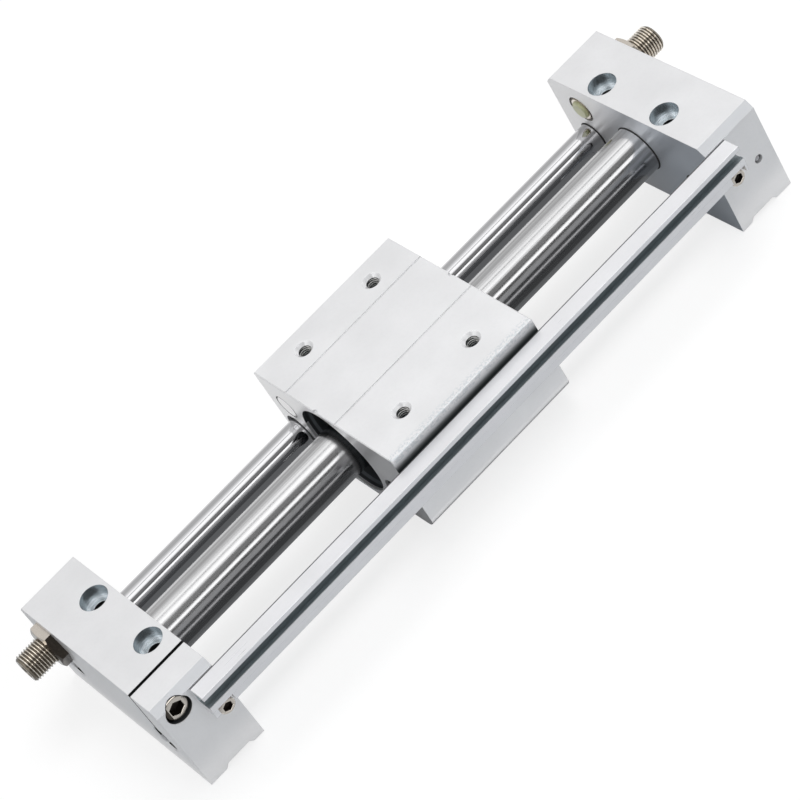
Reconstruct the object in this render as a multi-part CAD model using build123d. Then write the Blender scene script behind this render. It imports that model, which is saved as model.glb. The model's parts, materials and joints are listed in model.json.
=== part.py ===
from build123d import *
import math
import os

os.makedirs("parts", exist_ok=True)

# Rodless cylinder with magnetic coupling, bore 16, stroke 150.
# X runs along the tube from plate A to plate B, Z is up.
# The origin is the centre of the four mounting holes, on the base plane.
# The sensor rail is on the -Y side. All sizes are in mm.

# overall
bore_diameter = 16.0
stroke = 150.0
carriage_length = 60.0
bumper_reach = 0.95
stop_gap = 0.05
inner_gap = stroke + carriage_length + 2 * (bumper_reach + stop_gap)
carriage_rest = 2.25

# end plates
plate_thickness = 22.0
plate_left = 36.3
plate_right = -37.7
plate_height = 37.0
plate_chamfer = 2.5
inner_face = inner_gap / 2
outer_face = inner_face + plate_thickness
relief_outer = 6.5
relief_inner = 4.0
relief_depth = 1.4
relief_slope = 1.4
relief_start = 19.0
hole_inset = 16.0
hole_half_pitch = 14.5
mount_hole = 5.5
mount_counterbore = 9.6
mount_counterbore_depth = 5.4

# tube and guide shafts
axis_height = 20.2
tube_wall = 0.5
tube_diameter = bore_diameter + 2 * tube_wall
tube_pocket_depth = 8.5
tube_end_gap = 0.1
seat_clearance = 0.02
shaft_diameter = 10.0
shaft_height = 14.2
shaft_half_pitch = 25.0
shaft_recess = 0.6
shaft_blind_depth = 16.5
shaft_end_gap = 1.5
shaft_bore = 3.6
shaft_port_depth = 10.0
shaft_chamfer = 0.5
shaft_rim_chamfer = 0.3

# air passages
port_drill = 4.2
passage = 2.5
passage_inset = 6.2
passage_height = 17.6
port_passage_inset = 5.6
ball_diameter = 3.0
ball_depth = 0.3

# gaskets
tube_gasket_section = 1.5
tube_gasket_inset = 3.0
shaft_gasket_section = 1.2
shaft_gasket_inset = 13.0
outer_gasket_inset = 18.6

# clamp of the right shaft in plate A
slit_width = 1.2
clamp_inset = 6.65
clamp_height = 31.3
clamp_recess = 9.2
clamp_recess_depth = 6.0
m5_clear = 5.4
m5_tap = 4.2
m5_head = 8.5
m5_head_height = 5.0
m5_socket = 4.0
clamp_thread_end = -14.5

# set screws of the other shaft ends
set_inset = 11.0
set_tap = 3.3
set_length = 5.5
set_socket = 1.5

# adjusting bolts
bolt_diameter = 10.0
bolt_side = 24.0
bolt_below_top = 10.0
bolt_height = plate_height - bolt_below_top
bolt_outside = 12.2
bolt_socket = 5.0
bolt_socket_depth = 6.0
bolt_chamfer = 0.8
thread_clearance = 0.05
bumper_diameter = 6.6
bumper_seat = 3.0
nut_flats = 14.0
nut_thickness = 3.2
nut_chamfer_angle = 30.0
nut_face = 13.4

# sensor rail
rail_end_inset = 13.2
rail_shift = -0.5
rail_depth = 6.25
rail_top = 34.1
rail_bottom = 23.6
slot_opening = 3.6
slot_height = 30.65
slot_bore = 4.6
slot_centre_depth = 2.9
lip_bottom = 26.4
lip_step = 0.4
rail_screw_inset = 17.5
rail_screw_height = 22.6
notch_width = 6.0
notch_web = 1.7
m3_clear = 3.4
m3_tap = 2.5
m3_head = 5.5
m3_head_height = 3.0
m3_socket = 2.5
m3_reach = 6.0

# carriage
carriage_left = 33.0
carriage_right = -36.6
carriage_top = 38.5
carriage_bottom = 2.4
side_bottom = 5.4
belly_half_width = 18.5
top_chamfer = 0.3
low_fillet = 4.5
slider_bore = 33.6
tap_pitch_x = 30.0
tap_pitch_y = 49.0
tap_depth = 9.0
tap_countersink = 6.4
groove_left = 16.5
groove_right = -8.5
groove_width = 0.6
groove_depth = 0.3
notch_side = 1.5
notch_size = 2.0

# guide bushes
bush_outer = 13.0
bush_length = 20.0
bush_inset = 3.0
bush_clearance = 0.03
bush_seal_inset = 0.8
bush_seal_length = 2.2

# outer magnet unit
ring_inset = 5.0
ring_thickness = 1.2
ring_groove = 34.5
ring_inner = 30.0
ring_gap = 9.0
sleeve_outer = slider_bore
sleeve_inner = 29.0
holder_length = 6.3
magnet_count = 4
yoke_length = 2.85
stack_length = carriage_length - 2 * (ring_inset + ring_thickness + holder_length)
magnet_length = (stack_length - (magnet_count + 1) * yoke_length) / magnet_count
outer_magnet_inner = 18.4
outer_yoke_inner = 18.0
wear_ring_length = 3.0
wear_ring_outer = 20.0
wear_ring_clearance = 0.05
scraper_length = 2.0
scraper_outer = 21.0
scraper_clearance = 0.04

# stop pads and switch magnet
pad_diameter = 8.6
pad_thickness = 4.0
magnet_diameter = 4.0
switch_depth = 5.0
switch_height = 30.0

# piston
piston_shaft_diameter = 5.0
inner_magnet_outer = 14.8
inner_yoke_outer = 15.4
inner_stack_bore = 5.1
head_length = 11.0
head_outer = 15.6
seal_section = 2.0
seal_inset = 3.0
seal_root = 12.0
seal_clearance = 0.03
piston_ring_width = 2.5
piston_ring_inset = 7.0
piston_ring_root = 13.6
piston_nut_flats = 8.0
piston_nut_thickness = 2.7
cushion_length = 1.6
cushion_outer = 12.0
cushion_inner = 9.6

small = 0.02


def rod(diameter, length, x, y, z):
    """A cylinder along X that starts at x."""
    return Pos(x, y, z) * Rot(0, 90, 0) * Cylinder(
        diameter / 2, length, align=(Align.CENTER, Align.CENTER, Align.MIN)
    )


def rod_y(diameter, length, x, y, z):
    """A cylinder along +Y that starts at y."""
    return Pos(x, y, z) * Rot(-90, 0, 0) * Cylinder(
        diameter / 2, length, align=(Align.CENTER, Align.CENTER, Align.MIN)
    )


def post(diameter, height, x, y, z):
    """A cylinder along Z that starts at z."""
    return Pos(x, y, z) * Cylinder(
        diameter / 2, height, align=(Align.CENTER, Align.CENTER, Align.MIN)
    )


def ring(outer, inner, length, x, y, z):
    """A plain ring along X."""
    return rod(outer, length, x, y, z) - rod(inner, length + 2, x - 1, y, z)


def block(x0, x1, y0, y1, z0, z1):
    """A box between two corners."""
    return Pos((x0 + x1) / 2, (y0 + y1) / 2, (z0 + z1) / 2) * Box(x1 - x0, y1 - y0, z1 - z0)


def cone(d0, d1, length, x, y, z):
    """A cone along X, d0 wide at x and d1 wide at x + length."""
    return Pos(x, y, z) * Rot(0, 90, 0) * Cone(
        d0 / 2, d1 / 2, length, align=(Align.CENTER, Align.CENTER, Align.MIN)
    )


def hex_x(flats, length, x, y, z):
    """A hexagonal bar along X with flats up and down."""
    face = RegularPolygon(flats / 2, 6, major_radius=False, rotation=30)
    return Pos(x, y, z) * Rot(0, 90, 0) * extrude(face, length)


def write(node, shape):
    """Write one node with its solids side by side."""
    solids = shape.solids() if hasattr(shape, "solids") else [s for part in shape for s in part.solids()]
    print(node, len(solids), [round(s.volume, 1) for s in solids])
    export_step(Compound(children=list(solids)) if len(solids) > 1 else solids[0], f"parts/{node}.step")


def mirror_b(shape):
    """The same thing at plate B."""
    return mirror(shape, about=Plane.YZ)


# every plate is drawn as plate A, on the -X side


def plate_body():
    x0 = -outer_face
    x1 = -inner_face
    outline = Plane.YZ * Polyline(
        (plate_left, 0),
        (plate_left, plate_height - plate_chamfer),
        (plate_left - plate_chamfer, plate_height),
        (plate_right + plate_chamfer, plate_height),
        (plate_right, plate_height - plate_chamfer),
        (plate_right, 0),
        close=True,
    )
    body = Pos(x0, 0, 0) * extrude(make_face(outline), plate_thickness)
    relief = Plane.XZ * Polyline(
        (x0 + relief_outer, -1),
        (x0 + relief_outer, 0),
        (x0 + relief_outer + relief_slope, relief_depth),
        (x1 - relief_inner - relief_slope, relief_depth),
        (x1 - relief_inner, 0),
        (x1 - relief_inner, -1),
        close=True,
    )
    cut = extrude(make_face(relief), plate_left - plate_right, dir=(0, -1, 0))
    body -= Pos(0, relief_start + plate_left - plate_right, 0) * cut
    body -= Pos(0, -relief_start, 0) * cut
    for side in (-1, 1):
        x = x0 + hole_inset
        y = side * hole_half_pitch
        body -= post(mount_hole, plate_height + 2, x, y, -1)
        body -= post(mount_counterbore, mount_counterbore_depth + 1, x, y, plate_height - mount_counterbore_depth)
    body -= rod(tube_diameter + 2 * seat_clearance, tube_pocket_depth + 1, x1 - tube_pocket_depth, 0, axis_height)
    gasket_outer = tube_diameter + 2 * tube_gasket_section
    body -= rod(gasket_outer, tube_gasket_section, x1 - tube_gasket_inset - tube_gasket_section, 0, axis_height)
    body -= rod(bolt_diameter + 2 * thread_clearance, plate_thickness + 2, x0 - 1, bolt_side, bolt_height)
    body -= rod_y(
        m3_tap, m3_reach + 1.5 + 1, x0 + rail_screw_inset, plate_right - 1, rail_screw_height
    )
    return body


def end_plate_a():
    x0 = -outer_face
    x1 = -inner_face
    body = plate_body()
    for side in (-1, 1):
        y = side * shaft_half_pitch
        seat = shaft_diameter + 2 * seat_clearance
        body -= rod(seat, plate_thickness + 2, x0 - 1, y, shaft_height)
        body -= cone(seat + 2 * shaft_rim_chamfer, seat, shaft_rim_chamfer, x0, y, shaft_height)
    x = x0 + port_passage_inset
    body -= rod_y(passage, plate_left + passage / 2, x, -passage / 2, shaft_height)
    pocket = ball_diameter + ball_depth
    body -= rod_y(ball_diameter + 2 * seat_clearance, pocket + 1, x, plate_left - pocket, shaft_height)
    body -= rod(passage, x1 - tube_pocket_depth + 1 - x, x, 0, shaft_height)
    gasket_outer = shaft_diameter + 2 * shaft_gasket_section
    for inset in (shaft_gasket_inset, outer_gasket_inset):
        start = x1 - inset - shaft_gasket_section
        body -= rod(gasket_outer, shaft_gasket_section, start, shaft_half_pitch, shaft_height)
    y = -shaft_half_pitch
    body -= block(x0 - 1, x1 + 1, y - slit_width / 2, y + slit_width / 2, shaft_height, plate_height + 1)
    x = x0 + clamp_inset
    body -= rod_y(clamp_recess, clamp_recess_depth + 2, x, plate_right - 2, clamp_height)
    body -= rod_y(m5_clear, y - plate_right, x, plate_right, clamp_height)
    body -= rod_y(m5_tap, clamp_thread_end - y, x, y, clamp_height)
    body -= post(set_tap, shaft_height, x0 + set_inset, shaft_half_pitch, -1)
    return body


def end_plate_b():
    x0 = -outer_face
    x1 = -inner_face
    body = plate_body()
    for side in (-1, 1):
        y = side * shaft_half_pitch
        body -= rod(shaft_diameter + 2 * seat_clearance, shaft_blind_depth + 1, x1 - shaft_blind_depth, y, shaft_height)
        body -= post(set_tap, shaft_height, x0 + set_inset, y, -1)
    x = x0 + passage_inset
    gasket_outer = shaft_diameter + 2 * shaft_gasket_section
    body -= rod(
        gasket_outer,
        shaft_gasket_section,
        x1 - shaft_gasket_inset - shaft_gasket_section,
        -shaft_half_pitch,
        shaft_height,
    )
    body -= rod_y(passage, -plate_right, x, plate_right, passage_height)
    body -= rod_y(ball_diameter + 2 * seat_clearance, ball_diameter + ball_depth + 1, x, plate_right - 1, passage_height)
    body -= rod(passage, x1 - tube_pocket_depth + 1 - x, x, 0, axis_height - 2)
    return mirror_b(body)


def cylinder_tube():
    half = inner_face + tube_pocket_depth - tube_end_gap
    return ring(tube_diameter, bore_diameter, 2 * half, -half, 0, axis_height)


def shaft_ends():
    """Where both shafts start and stop along X."""
    return -outer_face + shaft_recess, inner_face + shaft_blind_depth - shaft_end_gap


def guide_shaft_left():
    x0, x1 = shaft_ends()
    body = rod(shaft_diameter, x1 - x0, x0, shaft_half_pitch, shaft_height)
    body = chamfer(body.edges().filter_by(GeomType.CIRCLE), shaft_chamfer)
    body -= rod(port_drill, shaft_port_depth + 1, x0 - 1, shaft_half_pitch, shaft_height)
    near = shaft_half_pitch - shaft_diameter / 2 - 1
    return body - rod_y(passage, shaft_diameter + 2, port_passage_inset - outer_face, near, shaft_height)


def guide_shaft_right():
    x0, x1 = shaft_ends()
    body = rod(shaft_diameter, x1 - x0, x0, -shaft_half_pitch, shaft_height)
    body = chamfer(body.edges().filter_by(GeomType.CIRCLE), shaft_chamfer)
    body -= rod(port_drill, shaft_port_depth + 1, x0 - 1, -shaft_half_pitch, shaft_height)
    return body - rod(shaft_bore, x1 - x0 + 2, x0 - 1, -shaft_half_pitch, shaft_height)


def sensor_rail():
    half = outer_face - rail_end_inset
    x0 = rail_shift - half
    x1 = rail_shift + half
    front = plate_right - rail_depth
    body = block(x0, x1, front, plate_right, lip_bottom, rail_top)
    body += block(x0, x1, front + lip_step, plate_right, rail_bottom, lip_bottom)
    lip_edges = body.edges().filter_by(Axis.X).filter_by(lambda e: e.center().Y < front + 0.1)
    body = fillet(lip_edges, 0.2)
    y = front + slot_centre_depth
    body -= rod(slot_bore, x1 - x0 + 2, x0 - 1, y, slot_height)
    body -= block(
        x0 - 1, x1 + 1, front - 1, y, slot_height - slot_opening / 2, slot_height + slot_opening / 2
    )
    seat = plate_right - notch_web
    for side in (-1, 1):
        x = side * (outer_face - rail_screw_inset)
        body -= rod_y(m3_clear, rail_depth + 2, x, front - 1, rail_screw_height)
        body -= block(
            x - notch_width / 2, x + notch_width / 2, front - 1, seat, rail_bottom - 1, lip_bottom
        )
    return body


def socket_screw(head, head_height, socket, shank, grip, thread, reach, x, y, z):
    """A socket head screw along +Y with its head seat at y."""
    body = rod_y(head, head_height, x, y - head_height, z)
    rim = body.edges().filter_by(GeomType.CIRCLE).sort_by(Axis.Y)[0]
    body = chamfer(rim, 0.4)
    body += rod_y(shank, grip, x, y - small, z)
    body += rod_y(thread, reach + small, x, y + grip - 2 * small, z)
    face = RegularPolygon(socket / 2, 6, major_radius=False)
    key = Pos(x, y - head_height - 1, z) * Rot(-90, 0, 0) * extrude(face, head_height * 0.6 + 1)
    return body - key


def rail_screws():
    seat = plate_right - notch_web
    found = []
    for side in (-1, 1):
        x = side * (outer_face - rail_screw_inset)
        found.append(
            socket_screw(
                m3_head, m3_head_height, m3_socket, 3.0, notch_web, m3_tap - 0.1, m3_reach, x, seat, rail_screw_height
            )
        )
    return found


def clamp_screw():
    seat = plate_right + clamp_recess_depth
    grip = -shaft_half_pitch - seat
    reach = clamp_thread_end + shaft_half_pitch - 1
    return socket_screw(
        m5_head, m5_head_height, m5_socket, 5.0, grip, m5_tap - 0.1, reach, -outer_face + clamp_inset, seat, clamp_height
    )


def shaft_set_screws():
    top = shaft_height - shaft_diameter / 2 - 0.01
    x = outer_face - set_inset
    found = []
    for cx, cy in ((-x, shaft_half_pitch), (x, shaft_half_pitch), (x, -shaft_half_pitch)):
        body = post(set_tap - 0.1, set_length, cx, cy, top - set_length)
        face = RegularPolygon(set_socket / 2 + 0.2, 6, major_radius=False)
        body -= Pos(cx, cy, top - set_length - 1) * extrude(face, 3.0)
        found.append(body)
    return found


def passage_ball():
    """The ball plugs of the air passages of both plates."""
    inset = ball_depth + ball_diameter / 2
    ball = Sphere(ball_diameter / 2)
    return [
        Pos(outer_face - passage_inset, plate_right + inset, passage_height) * ball,
        Pos(port_passage_inset - outer_face, plate_left - inset, shaft_height) * ball,
    ]


def tube_gaskets():
    outer = tube_diameter + 2 * tube_gasket_section
    x = -inner_face - tube_gasket_inset - tube_gasket_section
    body = ring(outer - 2 * small, tube_diameter + 2 * small, tube_gasket_section - 2 * small, x + small, 0, axis_height)
    return [body, mirror_b(body)]


def shaft_gasket():
    outer = shaft_diameter + 2 * shaft_gasket_section - 2 * small
    inner = shaft_diameter + 2 * small
    length = shaft_gasket_section - 2 * small
    found = [ring(outer, inner, length, inner_face + shaft_gasket_inset + small, -shaft_half_pitch, shaft_height)]
    for inset in (shaft_gasket_inset, outer_gasket_inset):
        x = -inner_face - inset - shaft_gasket_section + small
        found.append(ring(outer, inner, length, x, shaft_half_pitch, shaft_height))
    return found


def adjusting_bolt():
    x0 = -outer_face - bolt_outside
    body = rod(bolt_diameter, -inner_face - x0, x0, bolt_side, bolt_height)
    body = chamfer(body.edges().filter_by(GeomType.CIRCLE), bolt_chamfer)
    body -= hex_x(bolt_socket, bolt_socket_depth + 1, x0 - 1, bolt_side, bolt_height)
    return body - rod(bumper_diameter, bumper_seat + 1, -inner_face - bumper_seat, bolt_side, bolt_height)


def bolt_bumper():
    length = bumper_seat + bumper_reach - small
    body = rod(bumper_diameter - 2 * small, length, -inner_face - bumper_seat + small, bolt_side, bolt_height)
    edge = body.edges().filter_by(GeomType.CIRCLE).sort_by(Axis.X)[-1]
    return chamfer(edge, 0.5)


def lock_nut():
    x0 = -outer_face - nut_thickness
    body = hex_x(nut_flats, nut_thickness, x0, bolt_side, bolt_height)
    corner = nut_flats / math.cos(math.radians(30))
    slope = math.tan(math.radians(nut_chamfer_angle))
    tip = x0 - nut_face / 2 * slope
    height = (corner / 2 + 1) * slope
    keep = cone(0.01, corner + 2, height, tip, bolt_side, bolt_height)
    keep += rod(corner + 2, nut_thickness, tip + height - small, bolt_side, bolt_height)
    body = body & keep
    return body - rod(bolt_diameter + 2 * thread_clearance, nut_thickness + 2, x0 - 1, bolt_side, bolt_height)


def lock_nuts():
    body = lock_nut()
    return [body, mirror_b(body)]


# the carriage is drawn around x = 0 and moved to where it rests


def at_rest(shape):
    return Pos(carriage_rest, 0, 0) * shape


def slide_block():
    half = carriage_length / 2
    outline = Plane.YZ * Polyline(
        (carriage_left, side_bottom),
        (carriage_left, carriage_top),
        (carriage_right, carriage_top),
        (carriage_right, side_bottom),
        (-belly_half_width - 2, side_bottom),
        (-belly_half_width + 1, carriage_bottom),
        (belly_half_width - 1, carriage_bottom),
        (belly_half_width + 2, side_bottom),
        close=True,
    )
    body = Pos(-half, 0, 0) * extrude(make_face(outline), carriage_length)
    body = chamfer(body.edges().filter_by(lambda e: e.center().Z > carriage_top - 0.1), top_chamfer)
    long_edges = body.edges().filter_by(Axis.X)
    low = long_edges.filter_by(lambda e: abs(e.center().Y) > 32 and e.center().Z < side_bottom + 1)
    body = fillet(low, low_fillet)
    body -= rod(slider_bore, carriage_length + 2, -half - 1, 0, axis_height)
    for side in (-1, 1):
        face = side * half
        x = face - side * (ring_inset + ring_thickness / 2) - ring_thickness / 2
        body -= rod(ring_groove, ring_thickness, x, 0, axis_height)
        y = side * shaft_half_pitch
        body -= rod(bush_outer + 2 * seat_clearance, carriage_length + 2, -half - 1, y, shaft_height)
        start = -half - 1 if side < 0 else half - pad_thickness - small
        body -= rod(pad_diameter + 2 * seat_clearance, pad_thickness + small + 1, start, bolt_side, bolt_height)
        notch = Pos(face, notch_side, carriage_top) * Cylinder(notch_size / 2, 1.6)
        body -= notch
        for across in (-1, 1):
            tx = side * tap_pitch_x / 2
            ty = across * tap_pitch_y / 2
            body -= post(m5_tap, tap_depth + 1, tx, ty, carriage_top - tap_depth)
            sink = (tap_countersink - m5_tap) / 2
            body -= Pos(tx, ty, carriage_top - sink) * Cone(
                m5_tap / 2, tap_countersink / 2, sink, align=(Align.CENTER, Align.CENTER, Align.MIN)
            )
    for y in (groove_left, groove_right):
        body -= block(
            -half - 1, half + 1, y - groove_width / 2, y + groove_width / 2, carriage_top - groove_depth, carriage_top + 1
        )
    body -= rod_y(magnet_diameter + 2 * seat_clearance, switch_depth + 1, 0, carriage_right - 1, switch_height)
    return at_rest(body)


def unit_half():
    """Half length of the stack between the two end holders."""
    return (magnet_count * magnet_length + (magnet_count + 1) * yoke_length) / 2


def slider_sleeve():
    half = carriage_length / 2 - ring_inset - ring_thickness - small
    body = ring(sleeve_outer - 2 * seat_clearance, sleeve_inner, 2 * half, -half, 0, axis_height)
    return at_rest(body)


def holder_start():
    """Inner face of the end holders, measured from the carriage centre."""
    return unit_half() + small


def slider_end_holders():
    stop = carriage_length / 2 - ring_inset - ring_thickness - 2 * small
    start = holder_start()
    outer = sleeve_inner - 2 * seat_clearance
    body = ring(outer, outer_yoke_inner, stop - start, start, 0, axis_height)
    body -= rod(wear_ring_outer, wear_ring_length, start + 0.6, 0, axis_height)
    body -= rod(scraper_outer, scraper_length, stop - scraper_length, 0, axis_height)
    return [at_rest(body), at_rest(mirror_b(body))]


def slider_wear_rings():
    start = holder_start() + 0.6
    inner = tube_diameter + 2 * wear_ring_clearance
    body = ring(wear_ring_outer - 2 * small, inner, wear_ring_length - 2 * small, start + small, 0, axis_height)
    return [at_rest(body), at_rest(mirror_b(body))]


def slider_scrapers():
    stop = carriage_length / 2 - ring_inset - ring_thickness - 2 * small
    inner = tube_diameter + 2 * scraper_clearance
    body = ring(scraper_outer - 2 * small, inner, scraper_length - small, stop - scraper_length + small, 0, axis_height)
    return [at_rest(body), at_rest(mirror_b(body))]


def retaining_rings():
    x = carriage_length / 2 - ring_inset - ring_thickness + small
    body = ring(ring_groove - 2 * small, ring_inner, ring_thickness - 2 * small, x, 0, axis_height)
    low = axis_height - ring_groove / 2
    body -= block(x - 1, x + ring_thickness + 1, -ring_gap / 2, ring_gap / 2, low - 1, axis_height)
    lug_height = axis_height - ring_groove / 2 + 3.4
    for side in (-1, 1):
        y = side * (ring_gap / 2 + 1.9)
        body += rod(3.2, ring_thickness - 2 * small, x, y, lug_height)
    for side in (-1, 1):
        y = side * (ring_gap / 2 + 1.9)
        body -= rod(1.2, ring_thickness + 2, x - 1, y, lug_height)
    return [at_rest(body), at_rest(mirror_b(body))]


def stack_positions():
    """Start of each yoke and each magnet along X."""
    step = yoke_length + magnet_length
    first = -unit_half()
    yokes = [first + i * step for i in range(magnet_count + 1)]
    magnets = [first + yoke_length + i * step for i in range(magnet_count)]
    return yokes, magnets


def stack(starts, length, outer, inner):
    return [at_rest(ring(outer, inner, length, x, 0, axis_height)) for x in starts]


def outer_magnets():
    return stack(stack_positions()[1], magnet_length, sleeve_inner - 2 * seat_clearance, outer_magnet_inner)


def outer_yokes():
    return stack(stack_positions()[0], yoke_length, sleeve_inner - 2 * seat_clearance, outer_yoke_inner)


def inner_magnets():
    return stack(stack_positions()[1], magnet_length, inner_magnet_outer, inner_stack_bore)


def inner_yokes():
    return stack(stack_positions()[0], yoke_length, inner_yoke_outer, inner_stack_bore)


def guide_bushes():
    half = carriage_length / 2
    found = []
    for side in (-1, 1):
        for start in (-half + bush_inset, half - bush_inset - bush_length):
            body = ring(
                bush_outer,
                shaft_diameter + 2 * bush_clearance,
                bush_length,
                start,
                side * shaft_half_pitch,
                shaft_height,
            )
            found.append(at_rest(body))
    return found


def bush_seals():
    half = carriage_length / 2
    found = []
    for side in (-1, 1):
        for start in (-half + bush_seal_inset, half - bush_seal_inset - bush_seal_length):
            body = ring(
                bush_outer,
                shaft_diameter + 2 * scraper_clearance,
                bush_seal_length,
                start,
                side * shaft_half_pitch,
                shaft_height,
            )
            found.append(at_rest(body))
    return found


def switch_magnet():
    return at_rest(rod_y(magnet_diameter, switch_depth - small, 0, carriage_right, switch_height))


def stop_pads():
    half = carriage_length / 2
    found = []
    for start, edge_at in ((-half, 0), (half - pad_thickness, -1)):
        body = rod(pad_diameter, pad_thickness, start, bolt_side, bolt_height)
        edge = body.edges().filter_by(GeomType.CIRCLE).sort_by(Axis.X)[edge_at]
        found.append(at_rest(chamfer(edge, 0.4)))
    return found


def piston_length_half():
    return unit_half() + small + head_length


def piston_shaft():
    half = piston_length_half() + piston_nut_thickness
    return at_rest(rod(piston_shaft_diameter, 2 * half, -half, 0, axis_height))


def piston_heads():
    start = unit_half() + small
    body = ring(head_outer, inner_stack_bore, head_length, start, 0, axis_height)
    outer = bore_diameter + 1
    seal = ring(outer, seal_root, seal_section, start + head_length - seal_inset - seal_section, 0, axis_height)
    guide = ring(outer, piston_ring_root, piston_ring_width, start + 1.2, 0, axis_height)
    body = body - seal - guide
    body -= ring(cushion_outer, cushion_inner, 1.0, start + head_length - 1.0, 0, axis_height)
    return [at_rest(body), at_rest(mirror_b(body))]


def piston_seals():
    start = unit_half() + small + head_length - seal_inset - seal_section
    outer = bore_diameter - 2 * seal_clearance
    body = ring(outer, seal_root + 2 * small, seal_section - 2 * small, start + small, 0, axis_height)
    return [at_rest(body), at_rest(mirror_b(body))]


def piston_wear_rings():
    start = unit_half() + small + 1.2
    outer = bore_diameter - 2 * seal_clearance
    body = ring(outer, piston_ring_root + 2 * small, piston_ring_width - 2 * small, start + small, 0, axis_height)
    return [at_rest(body), at_rest(mirror_b(body))]


def piston_nuts():
    start = piston_length_half() + small
    body = hex_x(piston_nut_flats, piston_nut_thickness - small, start, 0, axis_height)
    body -= rod(piston_shaft_diameter + 2 * small, piston_nut_thickness + 2, start - 1, 0, axis_height)
    return [at_rest(body), at_rest(mirror_b(body))]


def piston_cushions():
    start = piston_length_half() - 1.0 + small
    inner = cushion_inner + 2 * small
    body = ring(cushion_outer - 2 * small, inner, cushion_length + 1.0, start, 0, axis_height)
    return [at_rest(body), at_rest(mirror_b(body))]


write("end_plate_a", end_plate_a())
write("end_plate_b", end_plate_b())
write("cylinder_tube", cylinder_tube())
write("guide_shaft_left", guide_shaft_left())
write("guide_shaft_right", guide_shaft_right())
write("sensor_rail", sensor_rail())
write("rail_screws", rail_screws())
write("clamp_screw", clamp_screw())
write("shaft_set_screws", shaft_set_screws())
write("passage_ball", passage_ball())
write("tube_gaskets", tube_gaskets())
write("shaft_gasket", shaft_gasket())
write("adjusting_bolt_a", adjusting_bolt())
write("adjusting_bolt_b", mirror_b(adjusting_bolt()))
write("bolt_bumper_a", bolt_bumper())
write("bolt_bumper_b", mirror_b(bolt_bumper()))
write("lock_nuts", lock_nuts())
write("slide_block", slide_block())
write("slider_sleeve", slider_sleeve())
write("slider_end_holders", slider_end_holders())
write("slider_wear_rings", slider_wear_rings())
write("slider_scrapers", slider_scrapers())
write("retaining_rings", retaining_rings())
write("outer_magnets", outer_magnets())
write("outer_yokes", outer_yokes())
write("guide_bushes", guide_bushes())
write("bush_seals", bush_seals())
write("switch_magnet", switch_magnet())
write("stop_pads", stop_pads())
write("piston_shaft", piston_shaft())
write("inner_magnets", inner_magnets())
write("inner_yokes", inner_yokes())
write("piston_heads", piston_heads())
write("piston_seals", piston_seals())
write("piston_wear_rings", piston_wear_rings())
write("piston_nuts", piston_nuts())
write("piston_cushions", piston_cushions())
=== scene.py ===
import json
import math

import bmesh
import bpy
from mathutils import Matrix, Vector

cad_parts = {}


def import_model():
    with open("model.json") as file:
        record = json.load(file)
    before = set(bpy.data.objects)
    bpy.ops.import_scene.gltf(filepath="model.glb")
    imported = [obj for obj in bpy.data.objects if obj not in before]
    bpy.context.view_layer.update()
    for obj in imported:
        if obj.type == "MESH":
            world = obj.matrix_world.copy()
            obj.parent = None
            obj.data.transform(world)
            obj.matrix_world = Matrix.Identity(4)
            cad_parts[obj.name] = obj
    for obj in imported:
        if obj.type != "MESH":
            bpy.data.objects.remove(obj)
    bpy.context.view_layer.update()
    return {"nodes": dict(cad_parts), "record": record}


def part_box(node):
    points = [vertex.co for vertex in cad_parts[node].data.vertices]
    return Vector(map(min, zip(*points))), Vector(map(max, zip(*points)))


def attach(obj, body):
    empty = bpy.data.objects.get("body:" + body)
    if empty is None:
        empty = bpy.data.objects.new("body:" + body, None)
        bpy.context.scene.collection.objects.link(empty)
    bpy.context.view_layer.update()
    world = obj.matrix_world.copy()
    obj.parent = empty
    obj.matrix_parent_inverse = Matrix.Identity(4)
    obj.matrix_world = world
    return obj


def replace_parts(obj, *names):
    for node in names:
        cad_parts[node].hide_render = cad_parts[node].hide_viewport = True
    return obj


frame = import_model()
nodes = frame["nodes"]

MM = 0.001
WHITE = (1.0, 1.0, 1.0)


def in_scene(name, data):
    """A new object in the scene that shows some data."""
    obj = bpy.data.objects.new(name, data)
    bpy.context.scene.collection.objects.link(obj)
    return obj


# Camera, fitted to the photograph: its focal length and its middle are in pixels

PHOTO_SIZE = 800
PHOTO_MIDDLE = (394.52, 389.11)
FOCAL_LENGTH = 3240.125
SENSOR_WIDTH = 36.0
CLIP_START = 0.05
CLIP_END = 20.0
CAMERA_SPOT = Vector((-0.21456, -0.6873, 0.68772))
CAMERA_RIGHT = Vector((0.68367, -0.60496, -0.4082))
CAMERA_DOWN = Vector((-0.69721, -0.37613, -0.61027))
CAMERA_FORWARD = Vector((0.21565, 0.70182, -0.67893))


def make_camera():
    data = bpy.data.cameras.new("camera")
    data.sensor_width = SENSOR_WIDTH
    data.sensor_fit = "HORIZONTAL"
    data.lens = FOCAL_LENGTH / PHOTO_SIZE * SENSOR_WIDTH
    data.shift_x = (PHOTO_SIZE / 2 - PHOTO_MIDDLE[0]) / PHOTO_SIZE
    data.shift_y = (PHOTO_MIDDLE[1] - PHOTO_SIZE / 2) / PHOTO_SIZE
    data.clip_start = CLIP_START
    data.clip_end = CLIP_END
    obj = in_scene("camera", data)
    rotation = Matrix((CAMERA_RIGHT, -CAMERA_DOWN, -CAMERA_FORWARD)).transposed()
    obj.matrix_world = Matrix.Translation(CAMERA_SPOT) @ rotation.to_4x4()
    bpy.context.scene.camera = obj


make_camera()


# Node helpers

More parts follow.
